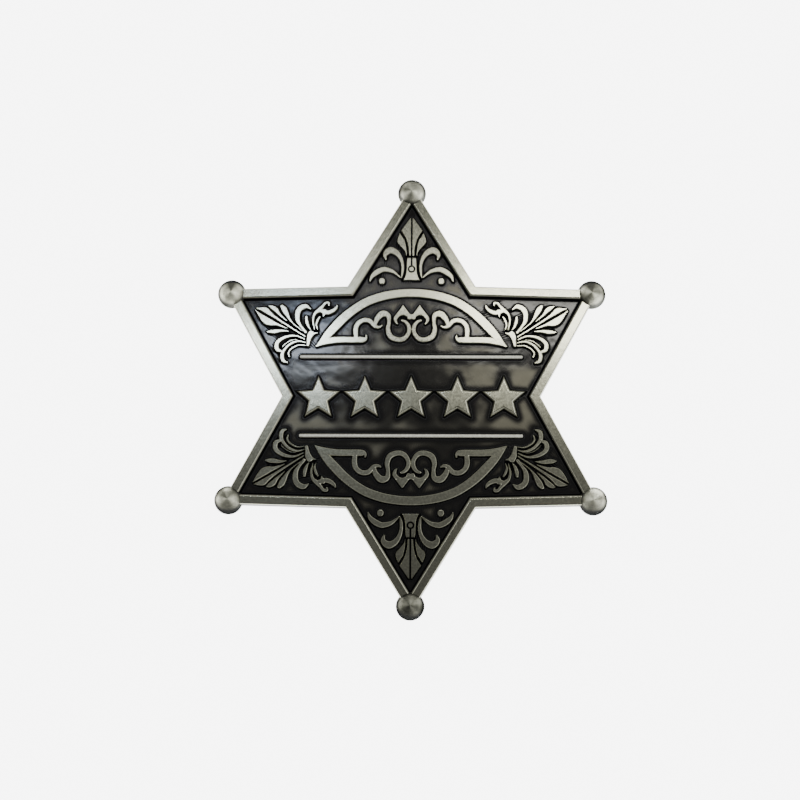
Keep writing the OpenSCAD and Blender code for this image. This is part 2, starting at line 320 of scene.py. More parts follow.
def stroke_lines(name, placed_strokes):
    """The rows of all strokes as open lines, with their half widths, for the sweep to follow."""
    points, edges, widths, caps = [], [], [], []
    for rows, cap in placed_strokes:
        first = len(points)
        for x, y, half_width in rows:
            points.append((x, y, 0))
            widths.append(half_width)
            caps.append(cap)
        edges += [(first + i, first + i + 1) for i in range(len(rows) - 1)]
    mesh = bpy.data.meshes.new(name)
    mesh.from_pydata(points, edges, [])
    for label, values in (("half_width", widths), ("round_cap", caps)):
        mesh.attributes.new(label, "FLOAT", "POINT").data.foreach_set("value", values)
    return mesh


def place_rows(rows, length, start, angle, flip_x, flip_y):
    """Rows given along an arm of the star, in metres on the badge, mirrored where asked."""
    placed = []
    for along, across, half_width in rows:
        a, c = start + along * length / 100, across * length / 100
        x = a * math.cos(angle) - c * math.sin(angle)
        y = a * math.sin(angle) + c * math.cos(angle)
        placed.append((flip_x * x, flip_y * y, half_width * length / 100))
    return placed


def crisp_group():
    """Smooths a piece's round shoulders, keeps its flat tops flat, and gives it its material."""
    tree, given, result = new_group("crisp casting", "GeometryNodeTree", [
        ("Mesh", "Geometry", None), ("Merge", "Float", 0.000004), ("Material", "Material", None),
    ], [("Mesh", "Geometry")])
    real = add_node(tree, "GeometryNodeRealizeInstances", {0: given["Mesh"]}).outputs[0]
    real = add_node(tree, "GeometryNodeMergeByDistance", {
        "Geometry": real, "Distance": given["Merge"]}).outputs[0]
    angle = add_node(tree, "GeometryNodeInputMeshEdgeAngle").outputs["Unsigned Angle"]
    gentle = maths(tree, "LESS_THAN", angle, FOLD)
    # Where a flat top meets its shoulder the edge stays sharp, so that the top shades as a flat.
    facing = axes(tree, add_node(tree, "GeometryNodeInputNormal").outputs[0])["Z"]
    is_top = add_node(tree, "GeometryNodeFieldOnDomain", {
        0: maths(tree, "GREATER_THAN", facing, 0.999)}, data_type="FLOAT", domain="FACE")
    inside_face = maths(tree, "GREATER_THAN", maths(tree, "ABSOLUTE", maths(
        tree, "SUBTRACT", is_top.outputs[0], 0.5)), 0.25)
    gentle = maths(tree, "MULTIPLY", gentle, inside_face)
    soft = add_node(tree, "GeometryNodeSetShadeSmooth", {
        "Geometry": real, "Shade Smooth": True}, domain="FACE").outputs[0]
    soft = add_node(tree, "GeometryNodeSetShadeSmooth", {
        "Geometry": soft, "Shade Smooth": gentle}, domain="EDGE").outputs[0]
    coat = add_node(tree, "GeometryNodeSetMaterial", {
        "Geometry": soft, "Material": given["Material"]}).outputs[0]
    tree.links.new(coat, result.inputs["Mesh"])
    return tree


crisp = crisp_group()


def loose_parts(tree, geometry):
    """Each loose part of a mesh as an instance of its own, as the union and the cut need them."""
    island = add_node(tree, "GeometryNodeInputMeshIsland").outputs["Island Index"]
    return add_node(tree, "GeometryNodeSplitToInstances", {
        0: geometry, "Group ID": island}, domain="POINT").outputs["Instances"]


def sweep_group():
    """Sweeps a flat topped, round shouldered ridge along each line and joins what overlaps."""
    tree, given, result = new_group("relief strokes", "GeometryNodeTree", [
        ("Lines", "Geometry", None), ("Ground Height", "Float", 0.0), ("Rise", "Float", 0.00075),
        ("Shoulder", "Float", 0.00021), ("Wall Share", "Float", 0.6), ("Bury", "Float", 0.0003),
        ("Step", "Float", 0.0001), ("Curved", "Bool", True), ("Material", "Material", None),
    ], [("Relief", "Geometry")])

    def attribute(label, kind="FLOAT"):
        return add_node(tree, "GeometryNodeInputNamedAttribute", {"Name": label},
                        data_type=kind).outputs["Attribute"]

    def store(geometry, label, value, kind="FLOAT"):
        return add_node(tree, "GeometryNodeStoreNamedAttribute", {
            "Geometry": geometry, "Name": label, "Value": value},
            data_type=kind, domain="POINT").outputs[0]

    def resample(curve):
        return add_node(tree, "GeometryNodeResampleCurve", {
            "Curve": curve, "Length": given["Step"]}, mode="LENGTH").outputs[0]

    def quarter_round(share):
        return maths(tree, "SQRT", maths(tree, "MULTIPLY", share,
                                         maths(tree, "SUBTRACT", 2.0, share)))

    lines = add_node(tree, "GeometryNodeMeshToCurve", {0: given["Lines"]}).outputs[0]
    smooth = resample(add_node(tree, "GeometryNodeCurveSplineType", {
        "Curve": lines, "Selection": given["Curved"]}, spline_type="CATMULL_ROM").outputs[0])
    reach = maths(tree, "MULTIPLY", attribute("half_width"), attribute("round_cap"))
    tangent = add_node(tree, "GeometryNodeInputTangent").outputs[0]
    for start, end, way in ((1, 0, -1.0), (0, 1, 1.0)):
        tip = add_node(tree, "GeometryNodeCurveEndpointSelection", {0: start, 1: end}).outputs[0]
        smooth = add_node(tree, "GeometryNodeSetPosition", {
            "Geometry": smooth, "Selection": tip, "Offset": scaled(
                tree, tangent, maths(tree, "MULTIPLY", reach, way))}).outputs[0]
    fine = resample(smooth)

    # Each end is rounded in plan over a length equal to its half width.
    travelled = add_node(tree, "GeometryNodeSplineParameter").outputs["Length"]
    total = add_node(tree, "GeometryNodeSplineLength").outputs["Length"]
    to_end = maths(tree, "MINIMUM", travelled, maths(tree, "SUBTRACT", total, travelled))
    fine = store(fine, "to_end", to_end)
    share = maths(tree, "MINIMUM", maths(tree, "DIVIDE", to_end, attribute("half_width")), 1.0)
    share = maths(tree, "MAXIMUM", share, maths(tree, "SUBTRACT", 1.0, attribute("round_cap")))
    width = maths(tree, "MAXIMUM", maths(tree, "MULTIPLY", attribute("half_width"),
                                         quarter_round(share)), 0.00001)
    shoulder = maths(tree, "MINIMUM", given["Shoulder"],
                     maths(tree, "MULTIPLY", attribute("half_width"), WIDEST_SHOULDER))
    fine = store(fine, "end_shoulder", shoulder)
    fine = store(fine, "half_width", width)
    fine = store(fine, "middle", add_node(tree, "GeometryNodeInputPosition").outputs[0],
                 "FLOAT_VECTOR")

    # The section's points are told apart by their turn round it, in six steps from side to top.
    ring = add_node(tree, "GeometryNodeCurvePrimitiveCircle", {
        "Resolution": SECTION_POINTS, "Radius": 1.0})
    ring = store(ring.outputs[0], "section", add_node(tree, "GeometryNodeInputPosition").outputs[0],
                 "FLOAT_VECTOR")
    tube = add_node(tree, "GeometryNodeCurveToMesh", {
        "Curve": fine, "Profile Curve": ring, "Scale": attribute("half_width"),
        "Fill Caps": True}).outputs[0]
    section = axes(tree, attribute("section", "FLOAT_VECTOR"))
    level = maths(tree, "MULTIPLY", maths(
        tree, "ARCTAN2", maths(tree, "ABSOLUTE", section["Y"]),
        maths(tree, "ABSOLUTE", section["X"])), SECTION_POINTS / math.tau)
    climb = maths(tree, "POWER", maths(tree, "MAXIMUM", maths(
        tree, "DIVIDE", maths(tree, "SUBTRACT", level, 1.0), 3.0), 0.0), 2.0)
    at_middle = maths(tree, "GREATER_THAN", level, 5.5)
    inwards = blend(tree, at_middle, maths(tree, "MULTIPLY", climb, shoulder),
                    attribute("half_width"), "FLOAT")
    bend = maths(tree, "MINIMUM", maths(tree, "MINIMUM", climb, maths(
        tree, "DIVIDE", attribute("to_end"), attribute("end_shoulder"))), 1.0)
    lift = maths(tree, "MULTIPLY_ADD", quarter_round(bend),
                 maths(tree, "SUBTRACT", 1.0, given["Wall Share"]), given["Wall Share"])
    top = maths(tree, "MULTIPLY_ADD", lift, given["Rise"], given["Ground Height"])
    bottom = maths(tree, "SUBTRACT", given["Ground Height"], given["Bury"])
    on_top = maths(tree, "LESS_THAN", section["Y"], -0.001)
    height = blend(tree, on_top, bottom, top, "FLOAT")

    place = add_node(tree, "GeometryNodeInputPosition").outputs[0]
    middle = attribute("middle", "FLOAT_VECTOR")
    aside = vector_maths(tree, "SUBTRACT", place, middle)
    aside = vector_maths(tree, "MULTIPLY", aside, (1, 1, 0))
    aside = vector_maths(tree, "NORMALIZE", aside)
    aside = scaled(tree, aside, maths(tree, "SUBTRACT", attribute("half_width"), inwards))
    here = axes(tree, vector_maths(tree, "ADD", middle, aside))
    there = add_node(tree, "ShaderNodeCombineXYZ", {
        0: here["X"], 1: here["Y"], 2: height}).outputs[0]
    ridges = add_node(tree, "GeometryNodeSetPosition", {"Geometry": tube, "Position": there})

    joined = add_node(tree, "GeometryNodeMeshBoolean", {
        "Mesh 2": loose_parts(tree, ridges.outputs[0])},
        operation="UNION", solver="MANIFOLD").outputs[0]
    coat = add_node(tree, "GeometryNodeGroup", {
        "Mesh": joined, "Material": given["Material"]}, node_tree=crisp).outputs[0]
    tree.links.new(coat, result.inputs["Relief"])
    return tree


sweep = sweep_group()
relief_metal = cast_metal("relief metal", ground_z + RELIEF_DARK_TO,
                          ground_z + RELIEF_BRIGHT_FROM, wear=0.2)
FOUR_WAYS = [(1, 1), (-1, 1), (1, -1), (-1, -1)]

palmette_lines = stroke_lines("palmettes", [
    (place_rows(rows, tip_r * PALMETTE_SHARE, tip_r * PALMETTE_AT, half_turn, *ways), 1.0)
    for rows in PALMETTE_STROKES.values() for ways in FOUR_WAYS])
palmettes = grow("palmettes", palmette_lines, sweep,
                 {"Ground Height": ground_z, "Rise": RELIEF_RISE}, relief_metal)
cast_piece(palmettes)


# LILIES
# A three petalled lily stands in the top arm and hangs in the bottom one, with two pairs of
# scrolls. A collar with a ringed dot holds its petals, and a small boss lies by each lower scroll.

LILY_SHARE = 0.299
LILY_AT = 0.543

# One half of the lily's scrolls: (along, across, half width) in percent of its length.
LILY_SCROLLS = {
    "upper scroll": [(4.5, 15.8, 0.8), (13, 14.4, 2.5), (24, 14.1, 3), (35, 17, 3.7),
                     (44, 23.4, 4.9), (48.3, 32, 5.9), (46, 38, 5.4), (40.5, 41.6, 3.9),
                     (34, 40.2, 1.8)],
    "lower scroll": [(5, 17.5, 1.2), (14.4, 29, 3.3), (17.9, 41.5, 4.5), (16.6, 48, 4.8),
                     (12.6, 55.3, 4.8), (6.5, 61.8, 3.6), (-1, 64.6, 1.3)],
    "boss": [(-0.9, 46.1, 5.4), (-0.6, 46.1, 5.4)],
}
# These have straight edges between their rows.
SIDE_PETAL = [(38.8, 8, 0.6), (42, 8.2, 0.9), (45, 8.7, 1.3), (48, 9.6, 2), (51, 10.8, 2.9),
              (54.5, 12.4, 4), (57.5, 14, 4.9), (60.5, 15.7, 5.8), (63.2, 16.9, 6.3),
              (66, 17.6, 5.2), (69.5, 18, 3.6), (75.8, 18.3, 0.4)]
MIDDLE_PETAL = [(38.8, 0, 4.3), (50, 0, 5), (56, 0, 5.9), (61, 0, 7.2), (66, 0, 8.9),
                (71, 0, 11.4), (75.5, 0, 14.2), (79.6, 0, 17.1), (100.3, 0, 2.6)]
LILY_COLLAR = [(0, 0, 14.2), (3, 0, 11.8), (7, 0, 10), (12, 0, 8.7), (20, 0, 8), (30, 0, 7.9),
               (34.5, 0, 7.5), (36.6, 0, 6.6), (37.3, 0, 5.6)]
# Ring groove in the collar, and the groove up the middle: (along, radius or half width).
RING_AT, RING_R, RING_HALF_W = 18.3, 4.7, 1.3
GROOVE_END, GROOVE_HALF_W = 102.0, 1.4
SCROLL_STEP = 0.06 * MM
PETAL_SHOULDER = 0.12 * MM
SPINE_DARK_TO, SPINE_BRIGHT_FROM = 0.42 * MM, 0.7 * MM

lily_len = tip_r * LILY_SHARE
lily_start = tip_r * LILY_AT


def lily_rows(rows, flip_x, flip_y):
    """A lily's rows laid in the top arm, or mirrored to the other side or the bottom one."""
    return place_rows(rows, lily_len, lily_start, math.pi / 2, flip_x, flip_y)


scroll_lines = stroke_lines("lily scrolls", [
    (lily_rows(rows, *ways), 1.0) for rows in LILY_SCROLLS.values() for ways in FOUR_WAYS])
lily_scrolls = grow("lily_scrolls", scroll_lines, sweep, {
    "Ground Height": ground_z, "Rise": RELIEF_RISE, "Step": SCROLL_STEP}, relief_metal)
cast_piece(lily_scrolls)

petal_lines = stroke_lines("side petals", [(lily_rows(SIDE_PETAL, *ways), 0.0)
                                           for ways in FOUR_WAYS])
side_petals = grow("lily_side_petals", petal_lines, sweep, {
    "Ground Height": ground_z, "Rise": RELIEF_RISE, "Shoulder": PETAL_SHOULDER, "Curved": False},
    relief_metal)
cast_piece(side_petals)


def groove_group():
    """Cuts a ring and a straight groove into the collar and the middle petal of each lily."""
    tree, given, result = new_group("lily grooves", "GeometryNodeTree", [
        ("Spines", "Geometry", None), ("Ring Height", "Float", 0.0), ("Ring Place", "Float", 0.0),
        ("Ring Radius", "Float", 0.0), ("Ring Half Width", "Float", 0.0),
        ("Groove Half Width", "Float", 0.0), ("Groove End", "Float", 0.0),
        ("Material", "Material", None),
    ], [("Grooved Spines", "Geometry")])
    section = add_node(tree, "GeometryNodeCurvePrimitiveCircle", {"Resolution": 12, "Radius": 1.0})
    hoop = add_node(tree, "GeometryNodeCurvePrimitiveCircle", {
        "Resolution": 40, "Radius": given["Ring Radius"]})
    shaft = add_node(tree, "GeometryNodeCurvePrimitiveLine")
    along = maths(tree, "SUBTRACT", given["Groove End"], given["Ring Place"])
    for key, distance in (("Start", given["Ring Radius"]), ("End", along)):
        end = add_node(tree, "ShaderNodeCombineXYZ", {1: distance}).outputs[0]
        tree.links.new(end, shaft.inputs[key])
    cutters = add_node(tree, "GeometryNodeJoinGeometry")
    for path, half_width, caps in ((hoop, given["Ring Half Width"], False),
                                   (shaft, given["Groove Half Width"], True)):
        bore = add_node(tree, "GeometryNodeCurveToMesh", {
            "Curve": path.outputs[0], "Profile Curve": section.outputs[0],
            "Scale": half_width, "Fill Caps": caps}).outputs[0]
        deep = add_node(tree, "GeometryNodeTransform", {"Geometry": bore, "Scale": (1, 1, 3.0)})
        tree.links.new(deep.outputs[0], cutters.inputs[0])
    left = given["Spines"]
    for flip in (1, -1):
        place = add_node(tree, "ShaderNodeCombineXYZ", {
            1: maths(tree, "MULTIPLY", given["Ring Place"], float(flip)),
            2: given["Ring Height"]}).outputs[0]
        tool = add_node(tree, "GeometryNodeTransform", {
            "Geometry": cutters.outputs[0], "Translation": place,
            "Rotation": (0, 0, 0 if flip == 1 else math.pi)}).outputs[0]
        left = add_node(tree, "GeometryNodeMeshBoolean", {
            "Mesh 1": left, "Mesh 2": loose_parts(tree, tool)},
            operation="DIFFERENCE", solver="MANIFOLD").outputs[0]
    coat = add_node(tree, "GeometryNodeGroup", {
        "Mesh": left, "Material": given["Material"]}, node_tree=crisp).outputs[0]
    tree.links.new(coat, result.inputs["Grooved Spines"])
    return tree


spine_metal = cast_metal("grooved metal", ground_z + SPINE_DARK_TO,
                         ground_z + SPINE_BRIGHT_FROM, wear=0.1)
plain_spines = grow("plain spines", stroke_lines("spines", [
    (lily_rows(rows, 1, flip), 0.0) for rows in (LILY_COLLAR, MIDDLE_PETAL) for flip in (1, -1)]),
    sweep, {"Ground Height": ground_z, "Rise": RELIEF_RISE, "Shoulder": PETAL_SHOULDER,
            "Curved": False}, spine_metal)
lily_spines = grow("lily_spines", plain_spines.data.copy(), groove_group(), {
    "Ring Height": ground_z + RELIEF_RISE,
    "Ring Place": lily_start + RING_AT * lily_len / 100,
    "Ring Radius": RING_R * lily_len / 100,
    "Ring Half Width": RING_HALF_W * lily_len / 100,
    "Groove Half Width": GROOVE_HALF_W * lily_len / 100,
    "Groove End": lily_start + GROOVE_END * lily_len / 100}, spine_metal)
bpy.data.objects.remove(plain_spines)
cast_piece(lily_spines)


# ARCHED SCROLLWORK
# A band arches over each side of the middle; on its straight foot stand scrolls and a small crest.
# It is one raised run of metal, the same above and below, left and right.

ARCH_SHARE = 0.444
ARCH_AT = 0.2475

# One half of the arch: (along, across, half width) in percent of its half width.
ARCH_STROKES = {
    "band": [(53.5, -4, 4.8), (53.2, 9, 4.8), (51.2, 24, 4.85), (48.1, 36, 4.9), (43.3, 48, 4.9),
             (35.7, 60, 4.95), (27.4, 70, 5.1), (17.1, 80, 5.1), (6.9, 89.2, 4.1),
             (-3.6, 99.2, 0.6)],
    "foot": [(-3.4, 98.6, 0.8), (2, 87, 3.6), (3.5, 76, 3.7), (3.6, 64, 3.6), (3.6, 55, 3.6),
             (3.9, 49.5, 3.2), (5.6, 47, 1.7), (8.2, 47.2, 1)],
    "first scroll": [(4, 57.4, 2.6), (13.5, 58.2, 3.05), (20, 56.3, 2.9), (24.2, 50.6, 2.85),
                     (23.6, 43.6, 2.8), (18.2, 38.4, 2.4), (17.1, 34, 1.8), (18.4, 30.8, 1)],
    "second scroll": [(20, 38, 2.4), (26, 35.8, 3.2), (31.2, 30.5, 3.8), (29.6, 24.4, 3.1),
                      (22, 23.5, 2.3), (14.5, 24.4, 2.8), (7.2, 21.6, 3.2), (3.9, 14, 2.9),
                      (5.2, 7.5, 2.8), (11, 3, 2.5), (17.5, 2.7, 2.5), (22.4, 5.8, 2.1),
                      (24.2, 9.8, 1.4)],
    "crest": [(27.4, -2, 2.7), (29.2, 2, 2.6), (31.8, 8, 2.5), (30.6, 13, 2.5),
              (26.4, 16.6, 2.4), (22.3, 16, 1.7), (20.3, 14.2, 0.7)],
}
CREST_PEAK = [(30.5, 8.7, 8), (40.6, 8.7, 0.5)]

arch_half = tip_r * ARCH_SHARE
arch_y = tip_r * ARCH_AT
arch_strokes = [
    (place_rows(rows, arch_half, arch_y, math.pi / 2, *ways), cap)
    for rows, cap in [(r, 1.0) for r in ARCH_STROKES.values()] + [(CREST_PEAK, 0.0)]
    for ways in FOUR_WAYS]
arches = grow("arched_scrollwork", stroke_lines("arches", arch_strokes), sweep,
              {"Ground Height": ground_z, "Rise": RELIEF_RISE}, relief_metal)
cast_piece(arches)


# THIN BARS
# Two straight round topped bars close off the middle band above and below.
# They stand a little lower than the scrollwork.

BAR_GAP = 2.35 * MM
BAR_W = 0.8 * MM
BAR_END_GAP = 1.1 * MM
BAR_RISE = 0.6 * MM
BAR_STEP = 0.2 * MM
BAR_DARK_TO, BAR_BRIGHT_FROM = 0.05 * MM, 0.5 * MM

floor_notch = notch_r * (edge_dist - RIM_W) / edge_dist
bar_y = arch_y - BAR_GAP - BAR_W / 2
bar_end = floor_notch - BAR_END_GAP - BAR_W / 2
bar_metal = cast_metal("bar metal", ground_z + BAR_DARK_TO, ground_z + BAR_BRIGHT_FROM, wear=0.2)
# The bars are painted much lighter than the rest of the casting: a painted highlight along their
# round tops.
bar_metal.node_tree.nodes["Group"].inputs["Bright"].default_value = (0.74, 0.74, 0.64, 1)
bar_shader = bar_metal.node_tree.nodes["Principled BSDF"]
bar_metal.node_tree.links.remove(bar_shader.inputs["Roughness"].links[0])
bar_shader.inputs["Roughness"].default_value = 0.32
bars = grow("thin_bars", stroke_lines("bars", [
    ([(-bar_end, y, BAR_W / 2), (bar_end, y, BAR_W / 2)], 1.0) for y in (bar_y, -bar_y)]), sweep,
    {"Ground Height": ground_z, "Rise": BAR_RISE, "Shoulder": BAR_W / 2, "Step": BAR_STEP},
    bar_metal)
cast_piece(bars)


# ROW OF STARS
# Five raised stars fill the middle band between the bars, where such a badge carries its row.
# Each is flat on top with broad rounded shoulders, and stands higher than the scrollwork.

ROW_N = 5
ROW_GAP = 2.85 * MM
ROW_END_GAP = 0.5 * MM
ROW_RISE = 1.1 * MM
ROW_POINTS = 5
STAR_WAIST = 0.46
STAR_BEVEL = 0.06 * MM
BEVEL_OVER, SHARP_OVER = 0.6, 0.45

row_r = bar_y - BAR_W / 2 - ROW_GAP
row_step = (floor_notch - ROW_END_GAP - row_r * math.cos(math.radians(18))) * 2 / (ROW_N - 1)
# Section of a star: (share of its outline, share of its height over the ground).
STAR_SECTION = [(1.0, -0.27), (1.0, 0.45), (0.98, 0.60), (0.94, 0.75), (0.89, 0.87), (0.83, 0.95),
                (0.77, 0.99), (0.74, 1.0), (0.72, 1.0)]


def row_star_mesh():
    """One star of the row, its middle at the origin and its foot below the ground."""
    shape = bmesh.new()
    rings = []
    for share, height in STAR_SECTION:
        ring = []
        for i in range(2 * ROW_POINTS):
            radius = row_r * (1 if i % 2 == 0 else STAR_WAIST)
            angle = math.pi / 2 + i * math.pi / ROW_POINTS
            inset = share if i % 2 == 0 else share * 0.99
            ring.append(shape.verts.new((radius * inset * math.cos(angle),
                                         radius * inset * math.sin(angle), height * ROW_RISE)))
        rings.append(ring)
    top = shape.verts.new((0, 0, ROW_RISE))
    base = shape.verts.new((0, 0, STAR_SECTION[0][1] * ROW_RISE))
    skin_rings(shape, rings)
    for k in range(2 * ROW_POINTS):
        n = (k + 1) % (2 * ROW_POINTS)
        shape.faces.new((rings[-1][k], rings[-1][n], top))
        shape.faces.new((rings[0][n], rings[0][k], base))
    bmesh.ops.recalc_face_normals(shape, faces=shape.faces)
    bmesh.ops.bevel(shape, geom=[e for e in shape.edges if e.calc_face_angle(0) > BEVEL_OVER],
                    offset=STAR_BEVEL, segments=2, profile=0.5, affect="EDGES")
    bmesh.ops.recalc_face_normals(shape, faces=shape.faces)
    for face in shape.faces:
        face.smooth = True
    for edge in shape.edges:
        edge.smooth = edge.calc_face_angle(0) < SHARP_OVER
    mesh = bpy.data.meshes.new("row star")
    shape.to_mesh(mesh)
    shape.free()
    return mesh


def row_group():
    """Copies one piece along a straight row."""
    tree, given, result = new_group("row", "GeometryNodeTree", [
        ("Piece", "Geometry", None), ("Count", "Int", 5), ("Step", "Float", 0.0094),
        ("Start", "Vector", (0, 0, 0)), ("Material", "Material", None),
    ], [("Row", "Geometry")])
    step = add_node(tree, "ShaderNodeCombineXYZ", {0: given["Step"]}).outputs[0]
    line = add_node(tree, "GeometryNodeMeshLine", {
        "Count": given["Count"], "Start Location": given["Start"], "Offset": step}).outputs[0]
    copies = add_node(tree, "GeometryNodeInstanceOnPoints", {
        "Points": line, "Instance": given["Piece"]}).outputs[0]
    real = add_node(tree, "GeometryNodeRealizeInstances", {0: copies}).outputs[0]
    coat = add_node(tree, "GeometryNodeSetMaterial", {
        "Geometry": real, "Material": given["Material"]}).outputs[0]
    tree.links.new(coat, result.inputs["Row"])
    return tree


row_metal = cast_metal("row star metal", ground_z + RELIEF_DARK_TO,
                       ground_z + RELIEF_BRIGHT_FROM, wear=0.2)
star_shift = -row_r * (1 - math.cos(math.radians(36))) / 2
row_stars = grow("row_of_stars", row_star_mesh(), row_group(), {
    "Count": ROW_N, "Step": row_step,
    "Start": (-(ROW_N - 1) / 2 * row_step, star_shift, ground_z)}, row_metal)
cast_piece(row_stars)


# TIP BALLS
# A solid ball is cast on every tip and swallows the end of the rim.
# Their tops are brushed bright. Their sides are painted dark as painted shade, more so on the side
# away from the middle and on the lowest ball, and they carry a painted highlight and painted
# reflection streaks.

BALL_LIFT = 1.55 * MM
# Below the first height each ball is painted dark, painted shade on its lower sides; above the
# second it is bright.
BALL_PAINTED_SHADE_TO, BALL_BRIGHT_FROM = 1.3 * MM, 2.5 * MM
OUTER_SIDE_PAINTED_SHADE = (0.016, 0.0165, 0.0165, 1)


def ball_group():
    """A ball at every tip of the star, in place of the mesh that the group is given."""
    tree, given, result = new_group("tip balls", "GeometryNodeTree", [
        ("Mesh", "Geometry", None), ("Count", "Int", 6), ("Ring Radius", "Float", 0.042),
        ("Height", "Float", 0.005), ("Ball Radius", "Float", 0.00275),
        ("Material", "Material", None),
    ], [("Balls", "Geometry")])
    ring = add_node(tree, "GeometryNodeMeshCircle", {
        "Vertices": given["Count"], "Radius": given["Ring Radius"]}).outputs[0]
    place = add_node(tree, "ShaderNodeCombineXYZ", {2: given["Height"]}).outputs[0]
    turned = add_node(tree, "GeometryNodeTransform", {
        "Geometry": ring, "Translation": place, "Rotation": (0, 0, math.pi / 2)}).outputs[0]
    ball = add_node(tree, "GeometryNodeMeshUVSphere", {
        "Segments": 64, "Rings": 40, "Radius": given["Ball Radius"]})
    ball = add_node(tree, "GeometryNodeStoreNamedAttribute", {
        "Geometry": ball.outputs["Mesh"], "Name": "UVMap", "Value": ball.outputs["UV Map"]},
        data_type="FLOAT2", domain="CORNER").outputs[0]
    copies = add_node(tree, "GeometryNodeInstanceOnPoints", {
        "Points": turned, "Instance": ball}).outputs[0]
    real = add_node(tree, "GeometryNodeRealizeInstances", {0: copies}).outputs[0]
    soft = add_node(tree, "GeometryNodeSetShadeSmooth", {0: real, "Shade Smooth": True}).outputs[0]
    coat = add_node(tree, "GeometryNodeSetMaterial", {
        "Geometry": soft, "Material": given["Material"]}).outputs[0]
    tree.links.new(coat, result.inputs["Balls"])
    return tree


def brushed_ball_metal():
    """The casting metal, brushed round each ball, painted lighter as a highlight, with painted
    reflection streaks and painted shade on the side away from the middle.
    """
    material = cast_metal("ball metal", back_z + BALL_LIFT + BALL_PAINTED_SHADE_TO,
                          back_z + BALL_LIFT + BALL_BRIGHT_FROM, wear=0.2,
                          dark=(0.06, 0.061, 0.056))
    tree = material.node_tree
    shader = tree.nodes["Principled BSDF"]
    # The balls are painted lighter than the rest of the casting: a painted highlight.
    tree.nodes["Group"].inputs["Bright"].default_value = (0.54, 0.54, 0.43, 1)
    finish = tree.nodes["Group"].outputs
    seen = add_node(tree, "ShaderNodeTexCoord").outputs
    place = seen["Object"]
    side = axes(tree, place)["Y"]
    facing = axes(tree, seen["Normal"])["Y"]
    # The side of each ball that faces away from the middle of the badge is painted dark: painted
    # shade.
    outer = ramp(tree, maths(tree, "MULTIPLY", facing, maths(tree, "SIGN", side)), -0.05, 0.9)
    # Lighter and darker streaks run out from the top of each ball: painted reflections, the
    # highlight sectors that brushing turned round the top would throw.
    unrolled = add_node(tree, "ShaderNodeUVMap", uv_map="UVMap").outputs[0]
    turn = maths(tree, "MULTIPLY", axes(tree, unrolled)["X"], math.tau)
    spoke = add_node(tree, "ShaderNodeCombineXYZ", {
        0: maths(tree, "COSINE", turn), 1: maths(tree, "SINE", turn)}).outputs[0]
    which_ball = vector_maths(tree, "MULTIPLY_ADD", place, (60, 60, 0), spoke)
    uneven = add_node(tree, "ShaderNodeTexNoise", {
        "Vector": which_ball, "Scale": 0.55, "Detail": 1.0, "Roughness": 0.3}).outputs["Fac"]
    painted_streak = ramp(tree, uneven, 0.36, 0.66, 0.3, 1.7, "LINEAR")
    # The lowest ball is painted darker than the others: painted shade.
    lowest_ball_shade = ramp(tree, side, -0.95 * ring_r, -0.5 * ring_r, 0.42, 1.0, "LINEAR")
    painted_ball_colour = scaled(tree, finish["Color"], maths(tree, "MULTIPLY", painted_streak, lowest_ball_shade))
    tree.links.new(blend(tree, outer, painted_ball_colour, OUTER_SIDE_PAINTED_SHADE), shader.inputs["Base Color"])
    tree.links.remove(shader.inputs["Roughness"].links[0])
    shader.inputs["Roughness"].default_value = 0.4
    shader.inputs["Anisotropic"].default_value = 0.75
    shader.inputs["Anisotropic Rotation"].default_value = 0.25
    shader.inputs["Specular Tint"].default_value = (0.3, 0.3, 0.29, 1)
    turning = add_node(tree, "ShaderNodeTangent", direction_type="UV_MAP", uv_map="UVMap")
    tree.links.new(turning.outputs[0], shader.inputs["Tangent"])
    return material


balls = grow("tip_balls", bpy.data.meshes.new("tip balls"), ball_group(), {
    "Count": ARMS, "Ring Radius": ring_r, "Height": back_z + BALL_LIFT,
    "Ball Radius": star_high.x - ring_r * math.cos(half_turn)}, brushed_ball_metal())
cast_piece(balls)


# DARKENED GROUND
# The finished casting is dipped to blacken it and rubbed, so the ground stays black in the corners
# along each wall and turns brown grey in the open. The plate gets its final shape and finish here.

# Turn from a tip to the square foot of its two edges.
EDGE_TURN = math.acos(edge_dist / tip_r)
GROUND_WAVE = 0.02 * MM
LEVEL_WITHIN = 0.01 * MM
PLATE_FOLD = math.radians(35)
RIM_DARK_TO, RIM_BRIGHT_FROM = 0.48 * MM, 0.84 * MM
# Distances from the nearest wall, and the colours that the ground has there.
BLACK_TO, OPEN_FROM = 0.12 * MM, 0.45 * MM
PATCH_FROM, PATCH_TO = 0.4 * MM, 1.8 * MM
BLACKENED = (0.003, 0.003, 0.0035, 1)
OPEN_GREY = (0.014, 0.0135, 0.0135, 1)
RUBBED_PATCH = (0.125, 0.116, 0.084, 1)
# Which of many patterns of patches the noise gives.
PATCH_PATTERN = 184.5


